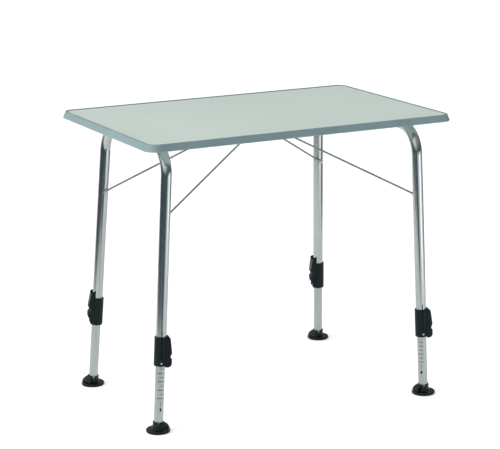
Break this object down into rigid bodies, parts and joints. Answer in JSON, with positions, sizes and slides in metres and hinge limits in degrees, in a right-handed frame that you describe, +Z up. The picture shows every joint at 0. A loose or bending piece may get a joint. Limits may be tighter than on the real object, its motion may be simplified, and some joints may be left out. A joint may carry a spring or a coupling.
{
  "type": "camping table",
  "caption": "Rectangular camping table: rimmed board, folding U-shaped tube frames, telescoping legs with sliding thumb clamps, saucer feet and wire stays.",
  "frame": {"origin": "middle of the table's bounding box on the floor", "axes": "+X along the top's length toward the wider leg frame, +Y across the top toward the rear, +Z up"},
  "size_m": [0.8, 0.5734, 0.686],
  "materials": {
    "board": "pale grey-green laminate with a fine satin grain",
    "trim": "blue-grey moulded edge with a soft satin sheen",
    "tube": "satin anodised drawn tube",
    "stay_wire": "drawn bright wire, dull zinc finish",
    "bright_steel": "bright zinc-plated",
    "clamp_plastic": "black moulded nylon, satin",
    "fitting_plastic": "black moulded nylon, matt",
    "foot_plastic": "glossy black moulded plastic"
  },
  "bodies": {
    "table_top": {"table_board": "board", "edge_trim": "trim", "stay_catch": "fitting_plastic", "bracket_left_front": "fitting_plastic", "bracket_left_rear": "fitting_plastic", "bracket_right_front": "fitting_plastic", "bracket_right_rear": "fitting_plastic", "bracket_screws": "bright_steel", "catch_screws": "bright_steel"},
    "left_frame": {"frame_left": "tube", "collar_left_front": "clamp_plastic", "collar_left_rear": "clamp_plastic", "collar_rivets_left": "bright_steel", "stay_rivets_left": "bright_steel"},
    "right_frame": {"frame_right": "tube", "collar_right_front": "clamp_plastic", "collar_right_rear": "clamp_plastic", "collar_rivets_right": "bright_steel", "stay_rivets_right": "bright_steel"},
    "left_stay": {"stay_left": "stay_wire"},
    "right_stay": {"stay_right": "stay_wire"},
    "left_front_lower_leg": {"lower_tube_left_front": "tube", "tube_plug_left_front": "fitting_plastic", "foot_left_front": "foot_plastic"},
    "left_rear_lower_leg": {"lower_tube_left_rear": "tube", "tube_plug_left_rear": "fitting_plastic", "foot_left_rear": "foot_plastic"},
    "right_front_lower_leg": {"lower_tube_right_front": "tube", "tube_plug_right_front": "fitting_plastic", "foot_right_front": "foot_plastic"},
    "right_rear_lower_leg": {"lower_tube_right_rear": "tube", "tube_plug_right_rear": "fitting_plastic", "foot_right_rear": "foot_plastic"},
    "left_front_slider": {"slider_left_front": "clamp_plastic"},
    "left_rear_slider": {"slider_left_rear": "clamp_plastic"},
    "right_front_slider": {"slider_right_front": "clamp_plastic"},
    "right_rear_slider": {"slider_right_rear": "clamp_plastic"}
  },
  "joints": [
    {"name": "fold_left_frame", "type": "hinge", "parent": "table_top", "child": "left_frame", "pos_m": [-0.3145, 0, 0.657], "axis": [0, -1, 0], "range_deg": [0, 85.4]},
    {"name": "swing_left_stay", "type": "hinge", "parent": "left_frame", "child": "left_stay", "pos_m": [-0.32565, 0, 0.49338], "axis": [0, 1, 0], "range_deg": [0, 120.52]},
    {"name": "fold_right_frame", "type": "hinge", "parent": "table_top", "child": "right_frame", "pos_m": [0.309, 0, 0.657], "axis": [0, 1, 0], "range_deg": [0, 85.5]},
    {"name": "swing_right_stay", "type": "hinge", "parent": "right_frame", "child": "right_stay", "pos_m": [0.31329, 0, 0.49306], "axis": [0, -1, 0], "range_deg": [0, 124.62]},
    {"name": "extend_left_front_leg", "type": "slide", "parent": "left_frame", "child": "left_front_lower_leg", "axis": [-0.068, -0.0332, -0.9971], "range_m": [-0.1, 0.06]},
    {"name": "extend_left_rear_leg", "type": "slide", "parent": "left_frame", "child": "left_rear_lower_leg", "axis": [-0.068, 0.0332, -0.9971], "range_m": [-0.1, 0.06]},
    {"name": "extend_right_front_leg", "type": "slide", "parent": "right_frame", "child": "right_front_lower_leg", "axis": [0.0262, -0.0384, -0.9989], "range_m": [-0.1, 0.06]},
    {"name": "extend_right_rear_leg", "type": "slide", "parent": "right_frame", "child": "right_rear_lower_leg", "axis": [0.0262, 0.0384, -0.9989], "range_m": [-0.1, 0.06]},
    {"name": "unlock_left_front_clamp", "type": "slide", "parent": "left_frame", "child": "left_front_slider", "axis": [0.068, 0.0332, 0.9971], "range_m": [0, 0.016]},
    {"name": "unlock_left_rear_clamp", "type": "slide", "parent": "left_frame", "child": "left_rear_slider", "axis": [-0.068, 0.0332, -0.9971], "range_m": [0, 0.016]},
    {"name": "unlock_right_front_clamp", "type": "slide", "parent": "right_frame", "child": "right_front_slider", "axis": [-0.0262, 0.0384, 0.9989], "range_m": [0, 0.016]},
    {"name": "unlock_right_rear_clamp", "type": "slide", "parent": "right_frame", "child": "right_rear_slider", "axis": [0.0262, 0.0384, -0.9989], "range_m": [0, 0.016]}
  ],
  "couplings": [
    {"joint": "swing_left_stay", "follows": "fold_left_frame", "ratio": 1.4111},
    {"joint": "swing_right_stay", "follows": "fold_right_frame", "ratio": 1.4574}
  ]
}
